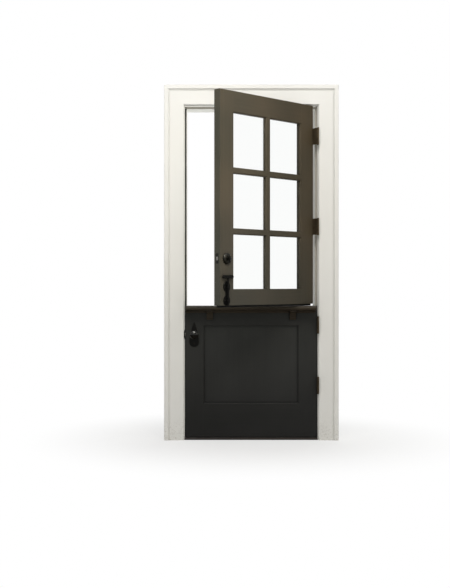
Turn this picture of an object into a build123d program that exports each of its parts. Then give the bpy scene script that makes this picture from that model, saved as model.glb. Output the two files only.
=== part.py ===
from build123d import *
from functools import cache
import math
import os

# Dutch stable door in its frame, seen from the room.
# X runs to the right towards the hinges, Y away from the room, Z up.
# The origin is under the middle of the sill, at the middle of the jambs' depth.
# All lengths are in millimetres and all angles in degrees.

# Doorway and leaves
opening_width = 819.0
opening_height = 2058.0
leaf_thickness = 47.0
side_gap = 3.0
head_gap = 3.0
sill_gap = 4.0
lower_leaf_top = 826.0
meeting_gap = 13.0
lock_bevel = 3.0
open_angle = 44.4

# Frame
jamb_depth = 167.0
jamb_backing = 32.0
stop_projection = 13.0
leaf_to_stop = 2.5
head_housing = 12.0
fixing_radius = 3.25
fixing_heights = (190.0, 780.0, 1370.0, 1960.0)
fixing_from_outside = 58.0

# Sill
sill_height = 14.0
sill_nosing = 6.0
sill_nose_height = 5.0
sill_outside_overhang = 20.0
sill_outside_height = 6.0
sill_saddle = 60.0
sill_nose_slope = 4.0

# Weatherstrip, door bottom and meeting seal
strip_width = 10.0
strip_thickness = 2.0
strip_barb_depth = 5.0
strip_barb_thickness = 1.4
strip_edge_radius = 0.8
sweep_thickness = 20.0
sweep_clearance = 0.6
sweep_groove = 6.0
seal_thickness = 10.0
seal_clearance = 2.0
seal_groove = 5.0

# Casing and backband
reveal = 6.0
casing_width = 84.0
casing_thickness = 20.0
casing_edge_radius = 2.0
backband_width = 36.0
backband_thickness = 28.0
backband_flat = 24.0
backband_bead = 5.0

# Upper leaf
upper_stile = 114.0
upper_top_rail = 122.5
upper_bottom_rail = 92.5
muntin_width = 36.0
muntin_depth = 41.0
pane_rows = 3
glass_face_depth = 20.0
glass_thickness = 5.0
glass_rebate = 14.0
glass_play = 1.0
sticking_quirk = 1.0
sticking_radius = 6.0
bead_thickness = 10.0
tenon_thickness = 15.0
tenon_length = 62.0
tenon_haunch = 22.0

# Lower leaf
lower_stile = 118.0
lower_top_rail = 125.0
lower_bottom_rail = 209.0
panel_thickness = 16.0
panel_groove_depth = 12.0
panel_tongue = 10.0
panel_clearance = 0.2

# Shelf on the lower leaf
shelf_depth = 100.0
shelf_thickness = 25.0
shelf_latch_inset = 4.0
shelf_hinge_inset = 12.0
shelf_nose_radius = 9.0
shelf_corner_radius = 10.0
moulding_height = 20.0
moulding_projection = 20.0
moulding_fillet = 4.0
bracket_from_edge = 151.5
bracket_width = 38.0
bracket_height = 61.0
bracket_depth = 74.0
bracket_toe = 13.0
bracket_lip = 11.0

# Wide-throw hinges, each placed from the nearest end of its leaf to the hinge's middle
hinge_from_upper_top = 189.0
hinge_from_upper_bottom = 473.0
hinge_from_lower_top = 117.0
hinge_from_lower_bottom = 321.0
hinge_height = 100.0
hinge_throw = 40.0
hinge_seat = 34.0
hinge_plate = 3.2
barrel_radius = 6.2
pin_radius = 4.0
pin_clearance = 0.08
knuckle_count = 5
knuckle_gap = 0.4
barrel_relief = 0.5
pin_cap_radius = 5.6
pin_cap_height = 3.0
pin_cap_bevel = 1.0

# Deadbolt in the upper leaf
deadbolt_above_handle = 102.5
deadbolt_backset = 56.0
deadbolt_throw = 25.4
deadbolt_wide = 14.0
deadbolt_tall = 22.0
deadbolt_length = 48.0
deadbolt_case_wall = 1.1
deadbolt_case_tail = 10.0
deadbolt_bore_radius = 27.0
rosette_radius = 32.5
rosette_height = 11.0
rosette_boss_radius = 25.0
turn_hub_radius = 8.0
turn_hub_length = 5.0
turn_tall = 34.0
turn_wide = 9.0
turn_reach = 12.0
tail_radius = 3.2
cylinder_radius = 29.0
cylinder_height = 17.0
plug_radius = 7.5
keyway_wide = 2.4
keyway_tall = 9.0

# Slide bolt on the upper leaf
slide_backset = 53.0
slide_standoff = 14.0
slide_radius = 6.0
slide_travel = 28.0
slide_rise = 1.0
slide_handle_rise = 161.5
slide_handle_length = 82.0
slide_handle_tall = 20.0
slide_handle_thick = 11.0
slide_waist_radius = 180.0
slide_plate_thickness = 4.0
slide_lobe_height = 62.0
slide_lobe_width = 52.0
slide_neck_width = 16.0
slide_neck_height = 20.0
staple_height = 11.0
staple_wall = 4.0

# Keeper for the slide bolt, in the shelf
keeper_edge_gap = 2.5
keeper_flange = 2.5
keeper_wall = 1.8
keeper_room = 6.0
keeper_play = 0.6

# Latch and knobs on the lower leaf
latch_below_top = 177.0
latch_backset = 55.0
latch_throw = 12.0
latch_wide = 12.0
latch_tall = 19.0
latch_length = 46.0
latch_case_wall = 1.7
latch_case_tail = 9.0
latch_bore_radius = 13.0
spindle_side = 8.0
spindle_hub_clearance = 0.55
spindle_bite = 34.0
knob_radius = 27.0
knob_thickness = 31.0
knob_reach = 62.0
knob_neck_radius = 9.0
knob_collar_radius = 12.5
knob_tail = 3.0
escutcheon_rise = 78.0
escutcheon_lobe_drop = 47.0
escutcheon_lobe_radius = 30.0
escutcheon_shoulder = 20.0
escutcheon_thickness = 3.0
escutcheon_top_radius = 3.0
rose_radius = 18.0
rose_height = 5.0

# Plates let into the lock edges and the latch jamb
faceplate_width = 25.4
faceplate_height = 57.0
faceplate_thickness = 2.5
strike_width = 28.0
strike_height = 70.0
strike_thickness = 2.5
strike_play = 1.5
strike_pocket_room = 1.6
lip_reach = 5.0
lip_clearance = 0.6
lip_height = 44.0

# Small clearances
slide_clearance = 0.3
bore_clearance = 0.1

# Derived places
half_opening = opening_width / 2
half_leaf = half_opening - side_gap
room_face = -jamb_depth / 2
outside_face = jamb_depth / 2
leaf_back = room_face + leaf_thickness
leaf_middle = room_face + leaf_thickness / 2
stop_face = leaf_back + leaf_to_stop
jamb_back_x = half_opening + jamb_backing
frame_top = opening_height + jamb_backing
lower_leaf_bottom = sill_height + sill_gap
upper_leaf_bottom = lower_leaf_top + meeting_gap
upper_leaf_top = opening_height - head_gap
bevel_run = leaf_thickness * math.tan(math.radians(lock_bevel))
lock_edge_middle = -half_leaf + bevel_run / 2
sticking = sticking_quirk + sticking_radius
glass_left = -half_leaf + upper_stile
glass_bottom = upper_leaf_bottom + upper_bottom_rail
glass_top = upper_leaf_top - upper_top_rail
pane_width = (2 * half_leaf - 2 * upper_stile - muntin_width) / 2
pane_height = (glass_top - glass_bottom - (pane_rows - 1) * muntin_width) / pane_rows
panel_left = -half_leaf + lower_stile
panel_bottom = lower_leaf_bottom + lower_bottom_rail
panel_top = lower_leaf_top - lower_top_rail
sweep_depth = sill_gap - sweep_clearance
seal_depth = meeting_gap - seal_clearance
pin_x = half_opening - side_gap / 2
pin_y = room_face - hinge_throw
upper_hinge_heights = (upper_leaf_top - hinge_from_upper_top, upper_leaf_bottom + hinge_from_upper_bottom)
lower_hinge_heights = (lower_leaf_top - hinge_from_lower_top, lower_leaf_bottom + hinge_from_lower_bottom)
hinge_heights = upper_hinge_heights + lower_hinge_heights
slide_x = -half_leaf + slide_backset
slide_y = room_face - slide_standoff
slide_handle_height = upper_leaf_bottom + slide_handle_rise
keeper_depth = slide_travel - meeting_gap - slide_rise + keeper_room
keeper_flange_radius = slide_standoff - keeper_edge_gap
keeper_outer_radius = slide_radius + keeper_play + keeper_wall
deadbolt_x = -half_leaf + deadbolt_backset
deadbolt_height = slide_handle_height + deadbolt_above_handle
deadbolt_case_radius = deadbolt_tall / 2 + slide_clearance + deadbolt_case_wall
latch_x = -half_leaf + latch_backset
latch_height = lower_leaf_top - latch_below_top
latch_case_radius = latch_tall / 2 + slide_clearance + latch_case_wall
spindle_hub_radius = spindle_side * math.sqrt(0.5) + spindle_hub_clearance
lip_radius = reveal - lip_clearance
strike_pocket_depth = deadbolt_throw + strike_pocket_room
shelf_underside = lower_leaf_top - shelf_thickness
shelf_front = room_face - shelf_depth
casing_inner_x = half_opening + reveal
casing_inner_z = opening_height + reveal
casing_outer_x = casing_inner_x + casing_width
casing_outer_z = casing_inner_z + casing_width
trim_outer_x = casing_outer_x + backband_width
trim_outer_z = casing_outer_z + backband_width


# Helpers

def block(x0, x1, y0, y1, z0, z1):
    middle = Pos((x0 + x1) / 2, (y0 + y1) / 2, (z0 + z1) / 2)
    return middle * Box(x1 - x0, y1 - y0, z1 - z0)


def outline(steps, place=lambda u, v: (u, v)):
    # a face from straight steps (u, v) and arcs (mid_u, mid_v, end_u, end_v)
    edges = []
    here = steps[0]
    for step in [*steps[1:], steps[0]]:
        if len(step) == 4:
            edges.append(ThreePointArc(place(*here), place(*step[:2]), place(*step[2:])))
            here = step[2:]
        elif math.dist(here, step) > 0.0001:
            edges.append(Line(place(*here), place(*step)))
            here = step
    return make_face(edges)


def along_x(face, x0, x1):
    # the face's own axes lie along Y and Z
    return extrude(Plane.YZ.offset(x0) * face, amount=x1 - x0)


def along_y(face, y0, y1):
    # the face's own axes lie along X and Z
    return extrude(Plane.XZ.offset(-y1) * face, amount=y1 - y0)


def along_z(face, z0, z1):
    return Pos(0, 0, z0) * extrude(face, amount=z1 - z0)


def round_x(radius, x0, x1, y, z):
    return Pos((x0 + x1) / 2, y, z) * Rot(0, 90, 0) * Cylinder(radius, x1 - x0)


def round_y(radius, y0, y1, x, z):
    return Pos(x, (y0 + y1) / 2, z) * Rot(90, 0, 0) * Cylinder(radius, y1 - y0)


def round_z(radius, z0, z1, x, y):
    return Pos(x, y, (z0 + z1) / 2) * Cylinder(radius, z1 - z0)


def turned_y(steps, x, y, z, facing):
    # a turned piece on an axis along Y; steps give (radius, distance along facing)
    profile = outline(steps, lambda r, d: (r, d))
    solid = revolve(profile, axis=Axis.Y)
    if facing < 0:
        solid = Rot(0, 0, 180) * solid
    return Pos(x, y, z) * solid


def stadium(wide, tall):
    # upright slot outline with round ends
    return SlotOverall(tall, wide, rotation=90)


def mirrored(solid):
    return mirror(solid, about=Plane.YZ)


def swung(solid):
    # the upper leaf stands open in its rest position
    return solid.rotate(Axis((pin_x, pin_y, 0), (0, 0, 1)), open_angle)


def group(solids):
    return Compound(children=list(solids))


def write(name, shape):
    export_step(shape, "parts/" + name + ".step")


# Frame: rebated jambs, head and sill

def jamb_section():
    # u runs into the doorway from the jamb's back, v away from the room
    face_u = jamb_backing
    stop_u = jamb_backing + stop_projection
    stop_v = stop_face - room_face
    return [(0, 0), (face_u, 0), (face_u, stop_v), (stop_u, stop_v), (stop_u, jamb_depth), (0, jamb_depth)]


@cache
def plain_head_jamb():
    place = lambda u, v: (room_face + v, frame_top - u)
    reach = half_opening + head_housing
    return along_x(outline(jamb_section(), place), -reach, reach)


@cache
def plain_side_jamb():
    place = lambda u, v: (-jamb_back_x + u, room_face + v)
    jamb = along_z(outline(jamb_section(), place), 0, frame_top) - plain_head_jamb()
    for height in fixing_heights:
        jamb -= round_x(fixing_radius, -jamb_back_x - 1, -half_opening + stop_projection + 1,
                        outside_face - fixing_from_outside, height)
    return jamb


def barb_slot_side():
    x_edge = -half_opening + strip_barb_thickness
    return block(-half_opening, x_edge, stop_face, stop_face + strip_barb_depth, 0, opening_height)


def barb_slot_head():
    z_edge = opening_height - strip_barb_thickness
    reach = half_opening
    return block(-reach, reach, stop_face, stop_face + strip_barb_depth, z_edge, opening_height)


def latch_jamb():
    jamb = plain_side_jamb() - barb_slot_side()
    jamb -= deadbolt_strike_blank() + deadbolt_pocket()
    jamb -= latch_strike_blank() + latch_pocket()
    return jamb


def hinge_jamb():
    jamb = mirrored(plain_side_jamb() - barb_slot_side())
    for height in hinge_heights:
        jamb -= hinge_gain(height, half_opening, half_opening + hinge_plate)
    return jamb


def head_jamb():
    slot = barb_slot_side()
    return plain_head_jamb() - barb_slot_head() - slot - mirrored(slot)


def sill():
    steps = [
        (room_face - sill_nosing, 0),
        (outside_face + sill_outside_overhang, 0),
        (outside_face + sill_outside_overhang, sill_outside_height),
        (room_face + sill_saddle, sill_height),
        (room_face - sill_nosing + sill_nose_slope, sill_height),
        (room_face - sill_nosing, sill_nose_height),
    ]
    board = along_x(outline(steps), -half_opening, half_opening)
    side = plain_side_jamb()
    return board - side - mirrored(side)


# Frame: weatherstrip in its kerf against the stop

def strip_steps():
    r = strip_edge_radius
    soft = r * (1 - math.sqrt(0.5))
    return [
        (0, 0),
        (0, -strip_thickness),
        (strip_width - r, -strip_thickness),
        (strip_width - soft, -strip_thickness + soft, strip_width, -strip_thickness + r),
        (strip_width, 0),
        (strip_barb_thickness, 0),
        (strip_barb_thickness, strip_barb_depth),
        (0, strip_barb_depth),
    ]


def weatherstrip_side():
    place = lambda u, v: (-half_opening + u, stop_face + v)
    return along_z(outline(strip_steps(), place), sill_height, opening_height - strip_width)


def weatherstrip_head():
    place = lambda u, v: (stop_face + v, opening_height - u)
    return along_x(outline(strip_steps(), place), -half_opening, half_opening)


# Frame: mitred casing and backband on the room side

def leg_mitre():
    # keeps the latch-side leg below and outside its mitre
    reach_z = casing_inner_z + (trim_outer_x - casing_inner_x)
    steps = [(-casing_inner_x, 0), (-casing_inner_x, casing_inner_z), (-trim_outer_x, reach_z), (-trim_outer_x, 0)]
    return along_y(outline(steps), room_face - backband_thickness, room_face)


def head_mitre():
    reach_z = casing_inner_z + (trim_outer_x - casing_inner_x)
    steps = [
        (-casing_inner_x, casing_inner_z),
        (casing_inner_x, casing_inner_z),
        (trim_outer_x, reach_z),
        (-trim_outer_x, reach_z),
    ]
    return along_y(outline(steps), room_face - backband_thickness, room_face)


def casing_steps():
    # u from the inner edge outwards, v out of the wall towards the room
    r = casing_edge_radius
    soft = r * (1 - math.sqrt(0.5))
    return [
        (0, 0),
        (0, casing_thickness - r),
        (soft, casing_thickness - soft, r, casing_thickness),
        (casing_width, casing_thickness),
        (casing_width, 0),
    ]


def backband_steps():
    # a bead beside the casing, a cove rising to a flat, and a rounded outer edge
    bead = backband_bead
    step_v = casing_thickness + 2
    flat_u = backband_width - backband_flat
    cove = backband_thickness - step_v
    diagonal = math.sqrt(0.5)
    return [
        (0, 0),
        (0, step_v - bead / 2),
        (bead / 2, step_v, bead, step_v - bead / 2),
        (bead + 1, step_v - bead / 2),
        (flat_u - cove, step_v),
        (flat_u - cove * (1 - diagonal), backband_thickness - cove * diagonal, flat_u, backband_thickness),
        (backband_width - casing_edge_radius, backband_thickness),
        (backband_width, backband_thickness - casing_edge_radius),
        (backband_width, 0),
    ]


def trim_leg(steps, inner_x):
    place = lambda u, v: (-inner_x - u, room_face - v)
    return along_z(outline(steps, place), 0, trim_outer_z) & leg_mitre()


def trim_head(steps, inner_z):
    place = lambda u, v: (room_face - v, inner_z + u)
    return along_x(outline(steps, place), -trim_outer_x, trim_outer_x) & head_mitre()


# Hinges: two folded plates that carry the pin clear of the trim

def hinge_base(height):
    return height - hinge_height / 2


def hinge_gain(height, x0, x1):
    base = hinge_base(height)
    return block(x0, x1, room_face, room_face + hinge_seat, base, base + hinge_height)


def knuckle_span(height, index):
    pitch = hinge_height / knuckle_count
    low = hinge_base(height) + index * pitch
    return low, low + pitch


def hinge_plate_solid(height, x0, x1, own):
    base = hinge_base(height)
    plate = block(x0, x1, pin_y, room_face + hinge_seat, base, base + hinge_height)
    for index in range(knuckle_count):
        low, high = knuckle_span(height, index)
        if index in own:
            low_gap = knuckle_gap / 2 if index > 0 else 0
            high_gap = knuckle_gap / 2 if index < knuckle_count - 1 else 0
            plate += round_z(barrel_radius, low + low_gap, high - high_gap, pin_x, pin_y)
        else:
            low_end = low if index > 0 else low - 1
            high_end = high if index < knuckle_count - 1 else high + 1
            plate -= round_z(barrel_radius + barrel_relief, low_end, high_end, pin_x, pin_y)
    return plate - round_z(pin_radius + pin_clearance, base - 1, base + hinge_height + 1, pin_x, pin_y)


def jamb_plate(height):
    own = range(0, knuckle_count, 2)
    return hinge_plate_solid(height, half_opening, half_opening + hinge_plate, own)


def door_plate(height):
    own = range(1, knuckle_count, 2)
    return hinge_plate_solid(height, half_leaf - hinge_plate, half_leaf, own)


def hinge_pin(height):
    # a straight pin with a low bevelled cap above and its twin below
    half = hinge_height / 2
    cap = half + pin_cap_height
    flat = pin_cap_radius - pin_cap_bevel
    steps = [
        (0, -cap),
        (flat, -cap),
        (pin_cap_radius, -cap + pin_cap_bevel),
        (pin_cap_radius, -half),
        (pin_radius, -half),
        (pin_radius, half),
        (pin_cap_radius, half),
        (pin_cap_radius, cap - pin_cap_bevel),
        (flat, cap),
        (0, cap),
    ]
    face = Plane.XZ * outline(steps)
    return Pos(pin_x, pin_y, height) * revolve(face, axis=Axis.Z)


# Strikes in the latch jamb

def deadbolt_strike_blank():
    half_width = strike_width / 2
    half_height = strike_height / 2
    return block(-half_opening - strike_thickness, -half_opening, leaf_middle - half_width,
                 leaf_middle + half_width, deadbolt_height - half_height, deadbolt_height + half_height)


def deadbolt_pocket():
    face = stadium(deadbolt_wide + 2 * strike_play, deadbolt_tall + 2 * strike_play)
    pocket = extrude(Plane.YZ * face, amount=strike_pocket_depth)
    return Pos(-half_opening - strike_pocket_depth, leaf_middle, deadbolt_height) * pocket


def deadbolt_strike():
    return deadbolt_strike_blank() - deadbolt_pocket()


def latch_strike_blank():
    return block(-half_opening - strike_thickness, -half_opening, room_face, leaf_middle + strike_width / 2,
                 latch_height - faceplate_height / 2, latch_height + faceplate_height / 2)


def latch_pocket():
    face = stadium(latch_wide + 2 * strike_play, latch_tall + 2 * strike_play)
    pocket = extrude(Plane.YZ * face, amount=strike_pocket_depth)
    return Pos(-half_opening - strike_pocket_depth, leaf_middle, latch_height) * pocket


def latch_strike():
    # the lip curls out of the rebate over the jamb's edge, with a rounded front
    plate = latch_strike_blank() - latch_pocket()
    outer = lip_radius
    inner = lip_radius - strike_thickness
    bend_y = room_face - lip_reach
    centre_x = -half_opening - lip_radius
    diagonal = math.sqrt(0.5)
    steps = [
        (-half_opening, room_face),
        (-half_opening, bend_y),
        (centre_x + outer * diagonal, bend_y - outer * diagonal, centre_x, bend_y - outer),
        (centre_x, bend_y - inner),
        (centre_x + inner * diagonal, bend_y - inner * diagonal, centre_x + inner, bend_y),
        (centre_x + inner, room_face),
    ]
    half_lip = lip_height / 2
    lip = along_z(outline(steps), latch_height - half_lip, latch_height + half_lip)
    rounding = Pos(-half_opening, 0, latch_height) * (Plane.XZ * Ellipse(lip_radius + 1.5, half_lip))
    rounded = lip & Pos(0, room_face, 0) * extrude(rounding, amount=lip_reach + 2 * lip_radius)
    return plate + rounded


# Upper leaf: rails and stiles with a moulded room side and a glass rebate outside

def arc_middle(u0, v0, radius):
    # middle of a convex quarter round that starts at (u0, v0) and turns away from the room
    diagonal = math.sqrt(0.5)
    return (u0 + radius * diagonal, v0 + radius * (1 - diagonal))


def glazed_steps(width, bevel):
    start = width - sticking_radius
    return [
        (0, 0),
        (start, 0),
        (start, sticking_quirk),
        (*arc_middle(start, sticking_quirk, sticking_radius), width, sticking),
        (width, glass_face_depth),
        (width - glass_rebate, glass_face_depth),
        (width - glass_rebate, leaf_thickness),
        (bevel, leaf_thickness),
    ]


def muntin_steps():
    # u is measured from the bar's middle
    half = muntin_width / 2
    start = half - sticking_radius
    web = half - glass_rebate
    mid_u, mid_v = arc_middle(start, sticking_quirk, sticking_radius)
    return [
        (-start, sticking_quirk),
        (-start, 0),
        (start, 0),
        (start, sticking_quirk),
        (mid_u, mid_v, half, sticking),
        (half, glass_face_depth),
        (web, glass_face_depth),
        (web, muntin_depth),
        (-web, muntin_depth),
        (-web, glass_face_depth),
        (-half, glass_face_depth),
        (-half, sticking),
        (-mid_u, mid_v, -start, sticking_quirk),
    ]


def tenon(side, z0, z1, shoulder):
    root = half_leaf - shoulder
    x0, x1 = sorted((side * root, side * (root + tenon_length)))
    y0 = leaf_middle - tenon_thickness / 2
    return block(x0, x1, y0, y0 + tenon_thickness, z0, z1)


def upper_tenons(side):
    shoulder = upper_stile + 1
    bottom = tenon(side, upper_leaf_bottom + tenon_haunch, glass_bottom - glass_rebate, shoulder)
    top = tenon(side, glass_top + glass_rebate, upper_leaf_top - tenon_haunch, shoulder)
    return bottom + top


@cache
def upper_hinge_stile():
    place = lambda u, v: (half_leaf - u, room_face + v)
    stile = along_z(outline(glazed_steps(upper_stile, 0), place), upper_leaf_bottom, upper_leaf_top)
    stile -= upper_tenons(1) + meeting_seal_body()
    for height in upper_hinge_heights:
        stile -= hinge_gain(height, half_leaf - hinge_plate, half_leaf)
    return stile


@cache
def upper_lock_stile():
    place = lambda u, v: (-half_leaf + u, room_face + v)
    stile = along_z(outline(glazed_steps(upper_stile, bevel_run), place), upper_leaf_bottom, upper_leaf_top)
    stile -= upper_tenons(-1) + meeting_seal_body()
    stile -= round_y(deadbolt_bore_radius, room_face - 1, leaf_back + 1, deadbolt_x, deadbolt_height)
    stile -= edge_bore(deadbolt_case_radius, deadbolt_x, deadbolt_height)
    return stile - faceplate_blank(deadbolt_height)


def upper_rail_bar(steps, place):
    reach = -glass_left + glass_rebate
    return along_x(outline(steps, place), -reach, reach)


@cache
def upper_bottom_rail_solid():
    place = lambda u, v: (room_face + v, upper_leaf_bottom + u)
    rail = upper_rail_bar(glazed_steps(upper_bottom_rail, 0), place)
    for side in (-1, 1):
        rail += tenon(side, upper_leaf_bottom + tenon_haunch, glass_bottom - glass_rebate, upper_stile + 1)
    return rail - upper_lock_stile() - upper_hinge_stile() - meeting_seal_body()


@cache
def upper_top_rail_solid():
    place = lambda u, v: (room_face + v, upper_leaf_top - u)
    rail = upper_rail_bar(glazed_steps(upper_top_rail, 0), place)
    for side in (-1, 1):
        rail += tenon(side, glass_top + glass_rebate, upper_leaf_top - tenon_haunch, upper_stile + 1)
    return rail - upper_lock_stile() - upper_hinge_stile()


@cache
def upright_muntin():
    place = lambda u, v: (u, room_face + v)
    bar = along_z(outline(muntin_steps(), place), glass_bottom - glass_rebate, glass_top + glass_rebate)
    return bar - upper_bottom_rail_solid() - upper_top_rail_solid()


def pane_base(row):
    return glass_bottom + row * (pane_height + muntin_width)


def cross_muntin(row):
    # two short bars, coped to the stiles and to the upright
    middle = pane_base(row) - muntin_width / 2
    place = lambda u, v: (room_face + v, middle + u)
    bar = along_x(outline(muntin_steps(), place), glass_left - glass_rebate, -glass_left + glass_rebate)
    bar = bar - upright_muntin() - upper_lock_stile() - upper_hinge_stile()
    return group(bar.solids())


def pane_spots():
    for column in (-1, 1):
        for row in range(pane_rows):
            x = column * (muntin_width + pane_width) / 2
            yield x, pane_base(row) + pane_height / 2


def glass_panes():
    half_x = pane_width / 2 + glass_rebate - glass_play
    half_z = pane_height / 2 + glass_rebate - glass_play
    y0 = room_face + glass_face_depth
    return group(
        swung(block(x - half_x, x + half_x, y0, y0 + glass_thickness, z - half_z, z + half_z))
        for x, z in pane_spots()
    )


def glazing_bead(x, z):
    # a mitred frame of wedge-shaped bead behind the glass
    y0 = room_face + glass_face_depth + glass_thickness
    y1 = y0 + bead_thickness
    half_x = pane_width / 2 + glass_rebate
    half_z = pane_height / 2 + glass_rebate
    ring = block(x - half_x, x + half_x, y0, y1, z - half_z, z + half_z)
    inner = Pos(x, y0, z) * (Plane.XZ * Rectangle(pane_width, pane_height))
    outer = Pos(x, y1, z) * (Plane.XZ * Rectangle(pane_width + glass_rebate, pane_height + glass_rebate))
    return ring - loft([inner, outer])


def glazing_beads():
    return group(swung(glazing_bead(x, z)) for x, z in pane_spots())


@cache
def meeting_seal_body():
    y0 = leaf_middle - seal_thickness / 2
    z0 = upper_leaf_bottom - seal_depth
    return block(-half_leaf + bevel_run, half_leaf, y0, y0 + seal_thickness, z0, upper_leaf_bottom + seal_groove)


# Lock-edge bores and faceplates, square to the bevelled edge

def edge_bore(radius, end_x, height):
    return round_x(radius + bore_clearance, -half_leaf - 1, end_x, leaf_middle, height)


def faceplate_blank(height):
    plate = Box(faceplate_thickness, faceplate_width, faceplate_height, align=(Align.MIN, Align.CENTER, Align.CENTER))
    return Pos(lock_edge_middle, leaf_middle, height) * Rot(0, 0, -lock_bevel) * plate


def bolt_bar(wide, tall, length):
    # along X from the lock edge inwards
    return extrude(Plane.YZ * stadium(wide, tall), amount=length)


def lock_case(radius, tail, wide, tall, length, throw, hub_x, height, hub_radius):
    # a round case with its faceplate, bored for the bolt and for the turning hub
    case = round_x(radius, lock_edge_middle, hub_x + tail, leaf_middle, height) + faceplate_blank(height)
    case -= round_y(hub_radius, leaf_middle - radius - 1, leaf_middle + radius + 1, hub_x, height)
    reach = length + throw
    hollow = bolt_bar(wide + 2 * slide_clearance, tall + 2 * slide_clearance, reach + bevel_run + 2)
    case -= Pos(lock_edge_middle - bevel_run - 1, leaf_middle, height) * hollow
    beyond_edge = Pos(lock_edge_middle, leaf_middle, height) * Rot(0, 0, -lock_bevel)
    return case - beyond_edge * Box(10, 60, 80, align=(Align.MAX, Align.CENTER, Align.CENTER))


# Deadbolt in the upper leaf

def deadbolt_case():
    # the bolt starts flush, so its chamber needs no room behind it
    return lock_case(deadbolt_case_radius, deadbolt_case_tail, deadbolt_wide, deadbolt_tall, deadbolt_length,
                     0, deadbolt_x, deadbolt_height, tail_radius + slide_clearance)


def deadbolt_bolt():
    bar = bolt_bar(deadbolt_wide, deadbolt_tall, deadbolt_length)
    return Pos(lock_edge_middle, leaf_middle, deadbolt_height) * bar


def deadbolt_rosette():
    bore = turn_hub_radius + slide_clearance
    body = deadbolt_bore_radius - 1
    inside = (leaf_thickness - 2 * deadbolt_case_radius) / 2 - 1
    steps = [
        (bore, -inside),
        (body, -inside),
        (body, 0),
        (rosette_radius, 0),
        (rosette_radius, 2.5),
        (rosette_radius - 1.2, rosette_height * 0.6, rosette_boss_radius, rosette_height - 1),
        (rosette_boss_radius - 5, rosette_height),
        (bore, rosette_height),
    ]
    return turned_y(steps, deadbolt_x, room_face, deadbolt_height, -1)


def deadbolt_thumbturn():
    # upright thumb-piece on a hub, with the tail that works the bolt
    hub_front = room_face - rosette_height - turn_hub_length
    hub_back = room_face + (leaf_thickness - 2 * deadbolt_case_radius) / 2 - 1
    hub = round_y(turn_hub_radius, hub_front, hub_back, deadbolt_x, deadbolt_height)
    tail = round_y(tail_radius, hub_back, leaf_middle + deadbolt_case_radius + 2, deadbolt_x, deadbolt_height)
    paddle_face = Pos(deadbolt_x, deadbolt_height) * Ellipse(turn_wide / 2, turn_tall / 2)
    paddle = along_y(paddle_face, hub_front - turn_reach, hub_front)
    waist = Pos(deadbolt_x, hub_front - turn_reach / 2, deadbolt_height)
    barrel = waist * Rot(0, 90, 0) * Cylinder(turn_tall / 2, turn_wide + 2)
    paddle = paddle & barrel
    return hub + tail + paddle


def deadbolt_cylinder():
    # outside collar with the key plug and its keyway
    body = deadbolt_bore_radius - 1
    inside = (leaf_thickness - 2 * deadbolt_case_radius) / 2 - 1
    tail_bore = tail_radius + slide_clearance
    steps = [
        (tail_bore, -inside),
        (body, -inside),
        (body, 0),
        (cylinder_radius, 0),
        (cylinder_radius, 3),
        (cylinder_radius - 1.5, cylinder_height * 0.6, plug_radius + 9, cylinder_height),
        (plug_radius + 1.5, cylinder_height),
        (plug_radius + 1.5, cylinder_height - 1.5),
        (plug_radius, cylinder_height - 1.5),
        (plug_radius, cylinder_height - 0.5),
        (0, cylinder_height - 0.5),
        (0, 0),
        (tail_bore, 0),
    ]
    collar = turned_y(steps, deadbolt_x, leaf_back, deadbolt_height, 1)
    front = leaf_back + cylinder_height
    keyway = block(deadbolt_x - keyway_wide / 2, deadbolt_x + keyway_wide / 2, front - 10, front + 1,
                   deadbolt_height - keyway_tall / 2, deadbolt_height + keyway_tall / 2)
    return collar - keyway


# Slide bolt on the upper leaf

def lobe_face(middle_z):
    # a pointed almond: two arcs that meet at the top and bottom
    half_w = slide_lobe_width / 2
    half_h = slide_lobe_height / 2
    steps = [
        (slide_x, middle_z - half_h),
        (slide_x + half_w, middle_z, slide_x, middle_z + half_h),
        (slide_x - half_w, middle_z, slide_x, middle_z - half_h),
    ]
    edges = [
        ThreePointArc(steps[0], steps[1][:2], steps[1][2:]),
        ThreePointArc(steps[1][2:], steps[2][:2], steps[2][2:]),
    ]
    return make_face(edges)


def slide_lobe_middles():
    low = upper_leaf_bottom + slide_lobe_height / 2 - 4
    return low, low + slide_lobe_height + slide_neck_height - 4


def slide_bolt_plate():
    low, high = slide_lobe_middles()
    face = lobe_face(low) + lobe_face(high)
    neck = Pos(slide_x, (low + high) / 2) * Rectangle(slide_neck_width, high - low)
    plate = along_y(face + neck, room_face - slide_plate_thickness, room_face)
    below = block(slide_x - 50, slide_x + 50, room_face - 50, room_face + 1, low - 90, upper_leaf_bottom + 1)
    return plate - below


def staple(middle_z):
    # a forged loop over the rod, its feet on the plate
    inner = slide_radius + slide_clearance
    outer = inner + staple_wall
    plate_y = room_face - slide_plate_thickness
    loop = Pos(slide_x, slide_y) * Circle(outer)
    loop += Pos(slide_x, (slide_y + plate_y) / 2) * Rectangle(2 * outer, plate_y - slide_y)
    loop -= Pos(slide_x, slide_y) * Circle(inner)
    loop -= Pos(slide_x, (slide_y + plate_y) / 2) * Rectangle(2 * inner, plate_y - slide_y)
    loop -= Pos(slide_x, plate_y + outer) * Rectangle(3 * outer, 2 * outer)
    return along_z(loop, middle_z - staple_height / 2, middle_z + staple_height / 2)


def slide_bolt_staples():
    low, high = slide_lobe_middles()
    return group(swung(staple(z)) for z in (low, high))


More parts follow.
